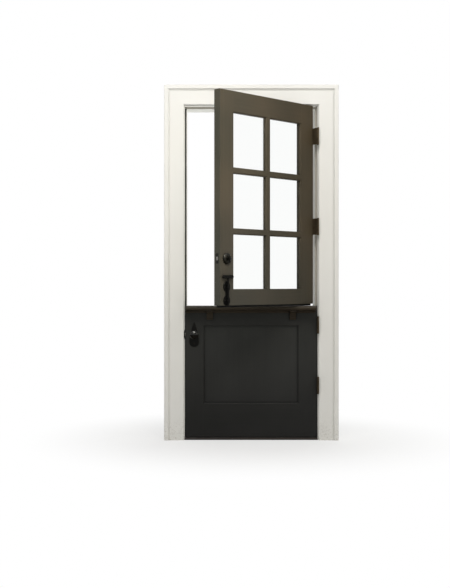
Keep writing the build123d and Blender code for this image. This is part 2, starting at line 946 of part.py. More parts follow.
def slide_bolt_rod():
    # a round rod under a flat cross handle with rounded ends and a slight waist
    rod = round_z(slide_radius, upper_leaf_bottom + slide_rise, slide_handle_height, slide_x, slide_y)
    face = Pos(slide_x, slide_handle_height) * SlotOverall(slide_handle_length, slide_handle_tall)
    handle = along_y(face, slide_y - slide_handle_thick / 2, slide_y + slide_handle_thick / 2)
    handle = chamfer(handle.faces().sort_by(Axis.Y)[0].edges(), 2)
    for side in (-1, 1):
        z = slide_handle_height + side * (slide_handle_tall / 2 - 1.5 + slide_waist_radius)
        handle -= round_y(slide_waist_radius, slide_y - slide_handle_thick, slide_y + slide_handle_thick, slide_x, z)
    return rod + handle


# Lower leaf: rails and stiles grooved for one flat panel

def panelled_steps(width, bevel):
    start = width - sticking_radius
    mid_u, mid_v = arc_middle(start, sticking_quirk, sticking_radius)
    groove_near = (leaf_thickness - panel_thickness) / 2 - panel_clearance
    groove_far = leaf_thickness - groove_near
    return [
        (0, 0),
        (start, 0),
        (start, sticking_quirk),
        (mid_u, mid_v, width, sticking),
        (width, groove_near),
        (width - panel_groove_depth, groove_near),
        (width - panel_groove_depth, groove_far),
        (width, groove_far),
        (width, leaf_thickness - sticking),
        (mid_u, leaf_thickness - mid_v, start, leaf_thickness - sticking_quirk),
        (start, leaf_thickness),
        (bevel, leaf_thickness),
    ]


def lower_tenon(side, z0, z1):
    return tenon(side, z0, z1, lower_stile + 1)


def lower_tenon_spans():
    bottom = (lower_leaf_bottom + tenon_haunch, panel_bottom - panel_groove_depth)
    top = (panel_top + panel_groove_depth, lower_leaf_top - tenon_haunch)
    return bottom, top


def lower_tenons(side):
    bottom, top = lower_tenon_spans()
    return lower_tenon(side, *bottom) + lower_tenon(side, *top)


@cache
def lower_hinge_stile():
    place = lambda u, v: (half_leaf - u, room_face + v)
    stile = along_z(outline(panelled_steps(lower_stile, 0), place), lower_leaf_bottom, lower_leaf_top)
    stile -= lower_tenons(1) + bottom_sweep()
    for height in lower_hinge_heights:
        stile -= hinge_gain(height, half_leaf - hinge_plate, half_leaf)
    return stile


@cache
def lower_lock_stile():
    place = lambda u, v: (-half_leaf + u, room_face + v)
    stile = along_z(outline(panelled_steps(lower_stile, bevel_run), place), lower_leaf_bottom, lower_leaf_top)
    stile -= lower_tenons(-1) + bottom_sweep()
    stile -= round_y(latch_bore_radius, room_face - 1, leaf_back + 1, latch_x, latch_height)
    stile -= edge_bore(latch_case_radius, latch_x + latch_case_tail, latch_height)
    return stile - faceplate_blank(latch_height)


def lower_rail(width, base, direction, span):
    place = lambda u, v: (room_face + v, base + direction * u)
    reach = -panel_left + panel_groove_depth
    rail = along_x(outline(panelled_steps(width, 0), place), -reach, reach)
    for side in (-1, 1):
        rail += lower_tenon(side, *span)
    return rail - lower_lock_stile() - lower_hinge_stile() - bottom_sweep()


def lower_bottom_rail_solid():
    return lower_rail(lower_bottom_rail, lower_leaf_bottom, 1, lower_tenon_spans()[0])


def lower_top_rail_solid():
    return lower_rail(lower_top_rail, lower_leaf_top, -1, lower_tenon_spans()[1])


def lower_panel():
    y0 = leaf_middle - panel_thickness / 2
    reach = -panel_left + panel_tongue
    return block(-reach, reach, y0, y0 + panel_thickness, panel_bottom - panel_tongue, panel_top + panel_tongue)


@cache
def bottom_sweep():
    y0 = leaf_middle - sweep_thickness / 2
    z0 = lower_leaf_bottom - sweep_depth
    return block(-half_leaf + bevel_run, half_leaf, y0, y0 + sweep_thickness, z0, lower_leaf_bottom + sweep_groove)


# Shelf with its moulding, brackets and bolt keeper

def shelf():
    r = shelf_nose_radius
    soft = r * (1 - math.sqrt(0.5))
    steps = [
        (room_face, shelf_underside),
        (room_face, lower_leaf_top),
        (shelf_front + r, lower_leaf_top),
        (shelf_front + soft, lower_leaf_top - soft, shelf_front, lower_leaf_top - r),
        (shelf_front, shelf_underside + r),
        (shelf_front + soft, shelf_underside + soft, shelf_front + r, shelf_underside),
    ]
    x0 = -half_leaf + shelf_latch_inset
    x1 = half_leaf - shelf_hinge_inset
    board = along_x(outline(steps), x0, x1)
    plan = Pos((x0 + x1) / 2, room_face) * RectangleRounded(x1 - x0, 2 * shelf_depth, shelf_corner_radius)
    board &= along_z(plan, shelf_underside, lower_leaf_top)
    return board - keeper_body()


def keeper_body():
    tube = round_z(keeper_outer_radius, lower_leaf_top - keeper_depth, lower_leaf_top, slide_x, slide_y)
    flange = round_z(keeper_flange_radius, lower_leaf_top - keeper_flange, lower_leaf_top, slide_x, slide_y)
    return tube + flange


def bolt_keeper():
    bore = round_z(slide_radius + keeper_play, lower_leaf_top - keeper_depth, lower_leaf_top, slide_x, slide_y)
    return keeper_body() - bore


@cache
def shelf_moulding():
    # a cove under the shelf, against the leaf
    h = moulding_height
    p = moulding_projection
    f = moulding_fillet
    cove_mid_y = room_face - f - (p - f) * (1 - math.sqrt(0.5))
    cove_mid_z = shelf_underside - f - (h - f) * (1 - math.sqrt(0.5))
    steps = [
        (room_face, shelf_underside),
        (room_face - p, shelf_underside),
        (room_face - p, shelf_underside - f),
        (cove_mid_y, cove_mid_z, room_face - f, shelf_underside - h),
        (room_face, shelf_underside - h),
    ]
    x0 = -half_leaf + shelf_latch_inset
    x1 = half_leaf - shelf_hinge_inset
    return along_x(outline(steps), x0, x1)


@cache
def shelf_bracket():
    # a sawn corbel with a swept front, fitted over the moulding
    top = shelf_underside
    bottom = top - bracket_height
    front = room_face - bracket_depth
    toe = room_face - bracket_toe
    steps = [
        (room_face, top),
        (front, top),
        (front, top - bracket_lip),
        (front + 0.52 * bracket_depth, top - bracket_lip - 9, toe - 8, bottom + 14),
        (toe - 1, bottom + 6, toe, bottom),
        (room_face, bottom),
    ]
    half = bracket_width / 2
    middle = -half_leaf + bracket_from_edge
    bracket = along_x(outline(steps), middle - half, middle + half)
    return bracket - shelf_moulding()


# Latch, spindle and knobs on the lower leaf

def latch_case():
    return lock_case(latch_case_radius, latch_case_tail, latch_wide, latch_tall, latch_length - latch_throw,
                     latch_throw, latch_x, latch_height, spindle_hub_radius)


def latch_bolt():
    # the nose slopes on the side that meets the strike first
    tip_x = lock_edge_middle - latch_throw
    bar = Pos(tip_x, leaf_middle, latch_height) * bolt_bar(latch_wide, latch_tall, latch_length)
    back_y = leaf_middle + latch_wide / 2
    slope = outline([
        (tip_x - 1, leaf_middle - latch_wide / 2 + 2),
        (lock_edge_middle - 1, back_y + 1),
        (tip_x - 1, back_y + 1),
    ])
    half = latch_tall
    return bar - along_z(slope, latch_height - half, latch_height + half)


def escutcheon(y_face, facing):
    # pear-shaped plate, pointed above and round below, with a turned rose at the knob
    lobe = escutcheon_lobe_radius
    shoulder = escutcheon_shoulder
    place = lambda u, v: (latch_x + u, latch_height + v)
    face = outline([
        (0, escutcheon_rise),
        (shoulder, shoulder, lobe, -escutcheon_lobe_drop),
        (0, -escutcheon_lobe_drop - lobe, -lobe, -escutcheon_lobe_drop),
        (-shoulder, shoulder, 0, escutcheon_rise),
    ], place)
    y_out = y_face + facing * escutcheon_thickness
    plate = along_y(face, min(y_face, y_out), max(y_face, y_out))
    plate = fillet(plate.edges().filter_by(Axis.Y).sort_by(Axis.Z)[-1], escutcheon_top_radius)
    front = plate.faces().sort_by(Axis.Y)[0 if facing < 0 else -1]
    plate = chamfer(front.outer_wire().edges(), 1.2)
    bore = knob_neck_radius + slide_clearance
    steps = [
        (bore, 0),
        (rose_radius, 0),
        (rose_radius, 1),
        (rose_radius - 1.2, rose_height - 1.2, rose_radius - 4, rose_height),
        (bore, rose_height),
    ]
    rose = turned_y(steps, latch_x, y_out, latch_height, facing)
    hole = round_y(bore, min(y_face, y_out) - 1, max(y_face, y_out) + 1, latch_x, latch_height)
    return plate - hole + rose


def knob(y_face, facing):
    # a flattened ball on a collared neck, bored square for the spindle
    neck = rose_height + escutcheon_thickness
    half = knob_thickness / 2
    centre = knob_reach - half
    steps = [
        (0, -knob_tail),
        (knob_neck_radius, -knob_tail),
        (knob_neck_radius, neck + 2),
        (knob_collar_radius, neck + 3),
        (knob_collar_radius + 1, neck + 5, knob_collar_radius, neck + 7),
        (knob_neck_radius, neck + 9),
        (knob_neck_radius + 1, centre - half - 4, knob_neck_radius + 6, centre - half + 2),
        (0, centre - half + 2),
    ]
    stem = turned_y(steps, latch_x, y_face, latch_height, facing)
    ball = turned_y(oval_steps(knob_radius, half, centre), latch_x, y_face, latch_height, facing)
    return stem + ball - spindle_body()


def oval_steps(radius, half, centre):
    # four-centred oval: a tight rim arc between two flatter faces
    rim = 0.7 * half
    inset = radius - rim
    flat = (inset**2 + half**2 - rim**2) / (2 * (half - rim))
    angle = math.atan2(inset, flat - half)
    join = (flat * math.sin(angle), flat * math.cos(angle) - flat + half)
    mid = (flat * math.sin(angle / 2), flat * math.cos(angle / 2) - flat + half)
    return [
        (0, centre - half),
        (mid[0], centre - mid[1], join[0], centre - join[1]),
        (radius, centre, join[0], centre + join[1]),
        (mid[0], centre + mid[1], 0, centre + half),
    ]


@cache
def spindle_body():
    half = spindle_side / 2
    return block(latch_x - half, latch_x + half, room_face - spindle_bite, leaf_back + spindle_bite,
                 latch_height - half, latch_height + half)


# Build and write every piece

def build_frame():
    write("latch_jamb", latch_jamb())
    write("hinge_jamb", hinge_jamb())
    write("head_jamb", head_jamb())
    write("sill", sill())
    write("weatherstrip_latch", weatherstrip_side())
    write("weatherstrip_hinge", mirrored(weatherstrip_side()))
    write("weatherstrip_head", weatherstrip_head())
    leg = trim_leg(casing_steps(), casing_inner_x)
    write("casing_latch", leg)
    write("casing_hinge", mirrored(leg))
    write("casing_head", trim_head(casing_steps(), casing_inner_z))
    band = trim_leg(backband_steps(), casing_outer_x)
    write("backband_latch", band)
    write("backband_hinge", mirrored(band))
    write("backband_head", trim_head(backband_steps(), casing_outer_z))
    for number, height in enumerate(hinge_heights, start=1):
        write(f"hinge_{number}_jamb_plate", jamb_plate(height))
    write("hinge_pins", group(hinge_pin(height) for height in hinge_heights))
    write("deadbolt_strike", deadbolt_strike())
    write("latch_strike", latch_strike())


def build_upper_leaf():
    write("upper_lock_stile", swung(upper_lock_stile()))
    write("upper_hinge_stile", swung(upper_hinge_stile()))
    write("upper_top_rail", swung(upper_top_rail_solid()))
    write("upper_bottom_rail", swung(upper_bottom_rail_solid()))
    write("upright_muntin", swung(upright_muntin()))
    write("lower_cross_muntin", swung(cross_muntin(1)))
    write("upper_cross_muntin", swung(cross_muntin(2)))
    write("glass_panes", glass_panes())
    write("glazing_beads", glazing_beads())
    write("meeting_seal", swung(meeting_seal_body()))
    for number, height in enumerate(upper_hinge_heights, start=1):
        write(f"hinge_{number}_door_plate", swung(door_plate(height)))
    write("deadbolt_case", swung(deadbolt_case()))
    write("deadbolt_rosette", swung(deadbolt_rosette()))
    write("deadbolt_cylinder", swung(deadbolt_cylinder()))
    write("deadbolt_thumbturn", swung(deadbolt_thumbturn()))
    write("deadbolt_bolt", swung(deadbolt_bolt()))
    write("slide_bolt_plate", swung(slide_bolt_plate()))
    write("slide_bolt_staples", slide_bolt_staples())
    write("slide_bolt_rod", swung(slide_bolt_rod()))


def build_lower_leaf():
    write("lower_lock_stile", lower_lock_stile())
    write("lower_hinge_stile", lower_hinge_stile())
    write("lower_top_rail", lower_top_rail_solid())
    write("lower_bottom_rail", lower_bottom_rail_solid())
    write("lower_panel", lower_panel())
    write("bottom_sweep", bottom_sweep())
    write("shelf", shelf())
    write("shelf_moulding", shelf_moulding())
    write("shelf_bracket_latch", shelf_bracket())
    write("shelf_bracket_hinge", mirrored(shelf_bracket()))
    write("bolt_keeper", bolt_keeper())
    for number, height in enumerate(lower_hinge_heights, start=3):
        write(f"hinge_{number}_door_plate", door_plate(height))
    write("latch_case", latch_case())
    write("latch_bolt", latch_bolt())
    write("inside_escutcheon", escutcheon(room_face, -1))
    write("outside_escutcheon", escutcheon(leaf_back, 1))
    write("inside_knob", knob(room_face, -1))
    write("outside_knob", knob(leaf_back, 1))
    write("knob_spindle", spindle_body())


os.makedirs("parts", exist_ok=True)
build_frame()
build_upper_leaf()
build_lower_leaf()
print("pane", round(pane_width, 1), "by", round(pane_height, 1), "mm")
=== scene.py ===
import bpy
import math
from mathutils import Matrix, Vector


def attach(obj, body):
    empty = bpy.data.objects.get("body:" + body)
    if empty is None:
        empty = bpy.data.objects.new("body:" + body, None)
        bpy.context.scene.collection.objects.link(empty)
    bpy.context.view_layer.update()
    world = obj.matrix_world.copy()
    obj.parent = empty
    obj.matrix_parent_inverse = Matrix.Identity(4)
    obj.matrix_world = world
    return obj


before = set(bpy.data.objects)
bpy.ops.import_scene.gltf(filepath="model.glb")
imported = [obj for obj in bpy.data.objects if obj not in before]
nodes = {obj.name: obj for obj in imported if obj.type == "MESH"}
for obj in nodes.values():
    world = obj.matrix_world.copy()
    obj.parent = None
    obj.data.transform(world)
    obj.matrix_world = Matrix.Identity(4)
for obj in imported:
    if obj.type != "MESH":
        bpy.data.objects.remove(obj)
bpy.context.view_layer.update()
print("frame loaded:", len(nodes), "nodes")


# Places read from the frame
def box(name):   # low corner, high corner and middle of a node where it stands
    piece = nodes[name]
    spots = [piece.matrix_world @ Vector(corner) for corner in piece.bound_box]
    low = Vector([min(spot[axis] for spot in spots) for axis in range(3)])
    high = Vector([max(spot[axis] for spot in spots) for axis in range(3)])
    return low, high, (low + high) / 2


swing = {"angle": math.radians(44.4), "pin": box("hinge_pins")[2]}   # how far the upper leaf stands open


def turned(angle):   # a turn about the hinges' axis
    pin = Vector((swing["pin"].x, swing["pin"].y, 0))
    return Matrix.Translation(pin) @ Matrix.Rotation(angle, 4, "Z") @ Matrix.Translation(-pin)


def at(x, y, z):
    return Matrix.Translation((x, y, z))


def onLeaf(x, y, z):   # from the closed leaf to where it stands open
    return turned(swing["angle"]) @ at(x, y, z)


def closed(spot):   # from the open leaf back to the closed one
    return turned(-swing["angle"]) @ spot


jambThick = 0.032
lockStile = box("lower_lock_stile")
leaf = {"room": lockStile[0].y, "outside": lockStile[1].y, "edge": box("lower_hinge_stile")[1].x}
doorway = {"half": -box("latch_jamb")[0].x - jambThick}
print("leaf", leaf, "doorway", doorway)


# Shader writing: a wire is one socket, a sheet is one material's nodes or the world's
class Wire:
    def __init__(self, sheet, socket):
        self.sheet = sheet
        self.socket = socket

    def sum(self, how, a, b):
        return self.sheet.add("ShaderNodeMath", {"operation": how}, {0: a, 1: b})

    def __add__(self, other): return self.sum("ADD", self, other)
    def __radd__(self, other): return self.sum("ADD", other, self)
    def __sub__(self, other): return self.sum("SUBTRACT", self, other)
    def __rsub__(self, other): return self.sum("SUBTRACT", other, self)
    def __mul__(self, other): return self.sum("MULTIPLY", self, other)
    def __rmul__(self, other): return self.sum("MULTIPLY", other, self)

    def top(self, other):   # the larger of two
        return self.sum("MAXIMUM", self, other)

    def clear(self):   # keeps a value between 0 and 1
        wire = self.sum("ADD", self, 0.0)
        wire.socket.node.use_clamp = True
        return wire


class Sheet:
    def __init__(self, name, home=None):
        self.home = home or bpy.data.materials.new(name)
        self.home.use_nodes = True
        self.tree = self.home.node_tree

    def add(self, kind, settings=None, sockets=None, out=0):   # any node: its settings first, then its sockets
        node = self.tree.nodes.new(kind)
        for key, value in (settings or {}).items():
            if key == "stops":
                ramp = node.color_ramp
                while len(ramp.elements) < len(value):
                    ramp.elements.new(0.5)
                for element, (place, shade) in zip(ramp.elements, value):
                    element.position = place
                    element.color = (*shade, 1) if isinstance(shade, tuple) else (shade, shade, shade, 1)
            else:
                setattr(node, key, value)
        self.feed(node, sockets or {})
        return Wire(self, node.outputs[out]) if node.outputs else None

    def feed(self, node, sockets):
        for key, value in sockets.items():
            socket = node.inputs[key]
            if isinstance(value, Wire):
                self.tree.links.new(value.socket, socket)
            elif isinstance(value, tuple) and len(value) == 3 and socket.type == "RGBA":
                socket.default_value = (*value, 1)
            else:
                socket.default_value = value

    def finish(self, **sockets):
        surface = self.tree.nodes["Principled BSDF"]
        self.feed(surface, {key.replace("_", " "): value for key, value in sockets.items()})
        return self.home

    def place(self, turn=0.0, scale=(1, 1, 1)):   # object coordinates, turned about Z, then stretched
        spot = self.add("ShaderNodeTexCoord", out="Object")
        level = self.add("ShaderNodeMapping", None, {"Vector": spot, "Rotation": (0, 0, turn)})
        return self.add("ShaderNodeMapping", None, {"Vector": level, "Scale": scale})

    def part(self, where, axis):
        return self.add("ShaderNodeSeparateXYZ", None, {0: where}, out=axis)

    def noise(self, where, scale=1.0, detail=3.0, rough=0.5, twist=0.0):
        return self.add("ShaderNodeTexNoise", None,
                        {"Vector": where, "Scale": scale, "Detail": detail, "Roughness": rough, "Distortion": twist})

    def spread(self, wire, low, high):   # stretches a grey value so that low turns 0 and high turns 1
        return self.add("ShaderNodeMapRange", None, {"Value": wire, "From Min": low, "From Max": high})

    def mix(self, amount, a, b, how="MIX"):
        return self.add("ShaderNodeMix", {"data_type": "RGBA", "blend_type": how}, {0: amount, 6: a, 7: b}, out=2)

    def edges(self, width):   # 1 on worn edges, 0 on flats
        soft = self.add("ShaderNodeBevel", {"samples": 4}, {"Radius": width})
        plain = self.add("ShaderNodeNewGeometry", out="Normal")
        alike = self.add("ShaderNodeVectorMath", {"operation": "DOT_PRODUCT"}, {0: soft, 1: plain}, out="Value")
        return ((1 - alike) * 9).clear()

    def corners(self, reach):   # 1 in deep corners, 0 on open faces: the mask for painted corner shade
        shade = self.add("ShaderNodeAmbientOcclusion", {"samples": 6}, {"Distance": reach}, out="AO")
        return (1 - shade).clear()

    def watched(self):   # 1 where the camera looks, also through glass
        seen = self.add("ShaderNodeLightPath", out="Is Camera Ray")
        return seen.top(self.add("ShaderNodeLightPath", out="Is Transmission Ray"))

    def rounded(self, height, strength, distance, width):   # bump over softly rounded edges
        soft = self.add("ShaderNodeBevel", {"samples": 4}, {"Radius": width})
        return self.add("ShaderNodeBump", None,
                        {"Strength": strength, "Distance": distance, "Height": height, "Normal": soft})


def along(direction, fine, coarse):   # stretches a pattern along one axis of the timber
    return {"x": (coarse, fine, fine), "z": (fine, fine, coarse)}[direction]


# Painted timber of both leaves: one paint, set lighter and warmer on the upper leaf as painted light and darker on the
# lower leaf as painted shade
upperLitCoat = {"colour": (0.063, 0.0575, 0.041), "light": (0.124, 0.097, 0.064), "worn": (0.17, 0.13, 0.085),
            "dust": (0.12, 0.105, 0.08), "roughness": 0.40, "shine": 0.22, "stroke": 0.22, "edge": 0.0012,
            # painted shade: darker toward the hinges, cooler toward the foot, darker and cooler on the free edge
            "paintedShades": (("X", -0.42, 0.20, (0.72, 0.66, 0.56)), ("Z", 1.55, 0.85, (0.92, 1.00, 1.14)),
                      ("X", -0.6055, -0.6065, (0.88, 0.97, 1.02)))}
lowerShadedCoat = {"colour": (0.0272, 0.0280, 0.0255), "light": (0.0440, 0.0443, 0.0410), "worn": (0.10, 0.08, 0.06),
             "dust": (0.06, 0.057, 0.05), "roughness": 0.42, "shine": 0.20, "stroke": 0.22, "edge": 0.0012,
             # painted shade: darker toward the foot, where less light falls
             "paintedShades": (("Z", 0.66, 0.16, (0.64, 0.63, 0.66)),)}
# the lower panel takes the lower leaf's paint 1.2 times lighter, as painted light
panelLitCoat = {**lowerShadedCoat, "colour": (0.0325, 0.0335, 0.0308), "light": (0.0515, 0.0520, 0.0485)}
shelfCoat = {"colour": (0.028, 0.0235, 0.0155), "light": (0.056, 0.043, 0.026), "worn": (0.15, 0.105, 0.06),
             "dust": (0.07, 0.06, 0.042), "roughness": 0.34, "shine": 0.34, "stroke": 0.22, "edge": 0.0018,
             # painted shade: darker toward the hinge end
             "paintedShades": (("X", -0.4, 0.4, (0.92, 0.84, 0.78)),)}


timberBrush = {"strokes": (620, 9), "grain": (95, 2.2), "cloud": 2.6, "specks": 260.0, "wear": 34.0,
               # the corner keys set painted shade in deep corners: its strength, reach and colour
               "toneMix": 0.55, "grainMix": 0.22, "dustMix": 0.30, "wornMix": 0.55, "cornerShadeMix": 0.45,
               "cornerShadeReach": 0.018, "corner": (0.006, 0.006, 0.005), "depth": 0.0006}


def paintTimber(name, coat, direction, turn=0.0, brush=timberBrush):
    sheet = Sheet(name)
    spot = sheet.place(turn)
    strokes = sheet.noise(sheet.place(turn, along(direction, *brush["strokes"])), 1.0, 3.0, 0.6)
    grain = sheet.noise(sheet.place(turn, along(direction, *brush["grain"])), 1.0, 5.0, 0.62, 0.6)
    cloud = sheet.noise(spot, brush["cloud"], 2.0, 0.5)
    specks = sheet.noise(spot, brush["specks"], 2.0, 0.7)
    tone = sheet.spread(cloud, 0.32, 0.72)
    colour = sheet.mix(tone * brush["toneMix"], coat["colour"], coat["light"])
    colour = sheet.mix(sheet.spread(grain, 0.35, 0.75) * brush["grainMix"], colour, coat["light"])
    dusty = sheet.spread(specks, 0.62, 0.80) * sheet.spread(cloud, 0.45, 0.75)
    colour = sheet.mix(dusty * brush["dustMix"], colour, coat["dust"])
    worn = sheet.edges(coat["edge"]) * sheet.spread(sheet.noise(spot, brush["wear"], 3.0, 0.65), 0.50, 0.68)
    colour = sheet.mix(worn * brush["wornMix"], colour, coat["worn"])
    # painted shade: deep corners darkened toward near black
    colour = sheet.mix(sheet.corners(brush["cornerShadeReach"]) * brush["cornerShadeMix"], colour, brush["corner"])
    for axis, start, end, tint in coat["paintedShades"]:   # painted shade: each fade darkens or cools the colour toward the hinges, the foot, the shelf's hinge end or the free edge
        colour = sheet.mix(sheet.spread(sheet.part(spot, axis), start, end), colour, tint, "MULTIPLY")
    rough = coat["roughness"] + 0.16 * sheet.spread(strokes, 0.3, 0.7) + 0.12 * dusty
    height = strokes * 0.55 + grain * 0.9
    return sheet.finish(Base_Color=colour, Roughness=rough, Specular_IOR_Level=coat["shine"],
                        Normal=sheet.rounded(height, coat["stroke"], brush["depth"], coat["edge"]))


# Painted trim and jambs, scuffed a little at the foot
# the darkest colour serves both scuffs at the foot and painted shade in deep corners
whiteCoat = {"colour": (0.80, 0.795, 0.765), "warm": (0.70, 0.675, 0.61), "dirtAndCornerShade": (0.33, 0.30, 0.25),
             "roughness": 0.38, "shine": 0.35, "stroke": 0.16, "edge": 0.0015}
trimBrush = {"strokes": (480, 6), "grain": (70, 1.6), "cloud": 1.7, "specks": 120.0, "footHeight": 0.16,
             # the corner keys set painted shade in deep corners
             "grainMix": 0.10, "cornerShadeMix": 0.16, "cornerShadeReach": 0.006, "depth": 0.0005}


def paintTrim(name, coat, direction, warmth=0.25, foot=0.5, brush=trimBrush):
    sheet = Sheet(name)
    spot = sheet.place()
    strokes = sheet.noise(sheet.place(0, along(direction, *brush["strokes"])), 1.0, 3.0, 0.6)
    grain = sheet.noise(sheet.place(0, along(direction, *brush["grain"])), 1.0, 4.0, 0.6, 0.5)
    cloud = sheet.noise(spot, brush["cloud"], 3.0, 0.55)
    specks = sheet.noise(spot, brush["specks"], 3.0, 0.75)
    colour = sheet.mix(sheet.spread(cloud, 0.35, 0.70) * warmth, coat["colour"], coat["warm"])
    colour = sheet.mix(sheet.spread(grain, 0.55, 0.75) * brush["grainMix"], colour, coat["warm"])
    low = (1 - sheet.spread(sheet.part(spot, "Z"), 0.0, brush["footHeight"])).clear()
    scuff = low * sheet.spread(specks, 0.50, 0.68)
    colour = sheet.mix(scuff * foot, colour, coat["dirtAndCornerShade"])
    # painted shade: deep corners darkened toward the scuff colour
    colour = sheet.mix(sheet.corners(brush["cornerShadeReach"]) * brush["cornerShadeMix"], colour, coat["dirtAndCornerShade"])
    rough = coat["roughness"] + 0.14 * sheet.spread(strokes, 0.3, 0.7) + 0.2 * scuff
    return sheet.finish(Base_Color=colour, Roughness=rough, Specular_IOR_Level=coat["shine"],
                        Normal=sheet.rounded(strokes * 0.6 + grain, coat["stroke"], brush["depth"], coat["edge"]))


# Metals
bronzeFinish = {"colour": (0.024, 0.0225, 0.018), "rub": (0.16, 0.12, 0.075), "bloom": (0.060, 0.056, 0.043),
                "roughness": 0.24, "edge": 0.0007, "lacquer": 0.45}
knobFinish = {"colour": (0.009, 0.009, 0.0075), "rub": (0.12, 0.10, 0.07), "bloom": (0.018, 0.0175, 0.0145),
              "roughness": 0.16, "edge": 0.0007, "lacquer": 1.0}
plateFinish = {"colour": (0.015, 0.0148, 0.0128), "rub": (0.12, 0.10, 0.07), "bloom": (0.014, 0.0135, 0.011),
               "roughness": 0.30, "edge": 0.0009, "lacquer": 0.15}
hingeFinish = {"colour": (0.092, 0.070, 0.043), "rub": (0.26, 0.18, 0.10), "bloom": (0.160, 0.122, 0.075),
               "roughness": 0.42, "edge": 0.0007, "lacquer": 0.0}
ironFinish = {"colour": (0.016, 0.0155, 0.015), "rub": (0.12, 0.115, 0.11), "bloom": (0.034, 0.031, 0.028),
              "roughness": 0.46, "edge": 0.0009, "lacquer": 0.0}


metalWear = {"patches": 46.0, "fine": 900.0, "dents": 210.0, "bloomMix": 0.7, "bump": 0.35, "depth": 0.0006,
             "metallic": 0.85, "lacquerRoughness": 0.06, "lacquerIndex": 1.6}


def agedMetal(name, finish, hammer=0.0, wear=0.6, marks=metalWear):
    sheet = Sheet(name)
    spot = sheet.place()
    patches = sheet.noise(spot, marks["patches"], 4.0, 0.62)
    fine = sheet.noise(spot, marks["fine"], 3.0, 0.6)
    dents = sheet.add("ShaderNodeTexVoronoi", {"feature": "SMOOTH_F1"},
                      {"Vector": spot, "Scale": marks["dents"], "Smoothness": 0.8})
    rubbed = sheet.edges(finish["edge"]) * sheet.spread(patches, 0.34, 0.60)
    colour = sheet.mix(sheet.spread(patches, 0.42, 0.72) * marks["bloomMix"], finish["colour"], finish["bloom"])
    colour = sheet.mix(rubbed * wear, colour, finish["rub"])
    rough = finish["roughness"] + 0.22 * sheet.spread(patches, 0.35, 0.7) - 0.14 * rubbed
    height = fine * 0.25 + dents * hammer + patches * 0.3
    return sheet.finish(Base_Color=colour, Roughness=rough, Metallic=marks["metallic"], Specular_IOR_Level=0.5,
                        Coat_Weight=finish["lacquer"], Coat_Roughness=marks["lacquerRoughness"],
                        Coat_IOR=marks["lacquerIndex"],
                        Normal=sheet.rounded(height, marks["bump"], marks["depth"], finish["edge"]))


steelLook = {"lines": (60, 2600, 2600), "stains": 130.0, "stained": (0.22, 0.19, 0.15), "stainMix": 0.6,
             "roughness": 0.26, "bump": 0.12, "depth": 0.0003, "edge": 0.0006}


def brushedSteel(name, colour, look=steelLook):
    sheet = Sheet(name)
    lines = sheet.noise(sheet.place(0, look["lines"]), 1.0, 3.0, 0.6)
    stain = sheet.noise(sheet.place(), look["stains"], 3.0, 0.6)
    shade = sheet.mix(sheet.spread(stain, 0.42, 0.75) * look["stainMix"], colour, look["stained"])
    return sheet.finish(Base_Color=shade, Roughness=look["roughness"] + 0.2 * lines, Metallic=1.0,
                        Normal=sheet.rounded(lines, look["bump"], look["depth"], look["edge"]))


# Glass, seals and sill
paneLook = {"colour": (0.985, 0.995, 0.988), "index": 1.38, "ripple": 7.0, "stretch": (1.0, 1.0, 0.6),
            "bump": 0.035, "depth": 0.004}


def windowGlass(name, look=paneLook):
    sheet = Sheet(name)
    ripple = sheet.noise(sheet.place(-swing["angle"], look["stretch"]), look["ripple"], 2.0, 0.5)
    bump = sheet.add("ShaderNodeBump", None, {"Strength": look["bump"], "Distance": look["depth"], "Height": ripple})
    return sheet.finish(Base_Color=look["colour"], Roughness=0.0, IOR=look["index"], Transmission_Weight=1.0,
                        Normal=bump)


rubberLook = {"grit": 700.0, "dust": 16.0, "dustMix": 0.6, "roughness": 0.72, "shine": 0.3, "bump": 0.25,
              "depth": 0.0003, "edge": 0.0008}


def rubber(name, colour, film, look=rubberLook):
    sheet = Sheet(name)
    grit = sheet.noise(sheet.place(), look["grit"], 3.0, 0.6)
    dust = sheet.noise(sheet.place(), look["dust"], 3.0, 0.6)
    shade = sheet.mix(sheet.spread(dust, 0.4, 0.75) * look["dustMix"], colour, film)
    return sheet.finish(Base_Color=shade, Roughness=look["roughness"] + 0.12 * grit, Specular_IOR_Level=look["shine"],
                        Normal=sheet.rounded(grit, look["bump"], look["depth"], look["edge"]))


sillLook = {"grain": (3.0, 130, 130), "pores": (14, 900, 900), "treads": (1.0, 2.0, 1.0), "treadScale": 3.2,
            "stops": [(0.30, (0.008, 0.006, 0.005)), (0.55, (0.018, 0.013, 0.010)), (0.78, (0.040, 0.028, 0.020))],
            "trodden": (0.07, 0.058, 0.045), "rubbed": (0.10, 0.075, 0.05), "roughness": 0.42, "shine": 0.3,
            "bump": 0.3, "depth": 0.0006, "edge": 0.0015, "rubWidth": 0.0016}


def oiledSill(name, look=sillLook):
    sheet = Sheet(name)
    grain = sheet.noise(sheet.place(0, look["grain"]), 1.0, 6.0, 0.62, 0.9)
    pores = sheet.noise(sheet.place(0, look["pores"]), 1.0, 2.0, 0.5)
    tread = sheet.noise(sheet.place(0, look["treads"]), look["treadScale"], 3.0, 0.6)
    shade = sheet.add("ShaderNodeValToRGB", {"stops": look["stops"]}, {0: grain})
    shade = sheet.mix(sheet.spread(tread, 0.45, 0.72) * 0.30, shade, look["trodden"])
    shade = sheet.mix(sheet.edges(look["rubWidth"]) * 0.25, shade, look["rubbed"])
    rough = look["roughness"] + 0.25 * sheet.spread(tread, 0.4, 0.7)
    return sheet.finish(Base_Color=shade, Roughness=rough, Specular_IOR_Level=look["shine"],
                        Normal=sheet.rounded(grain + pores * 0.4, look["bump"], look["depth"], look["edge"]))


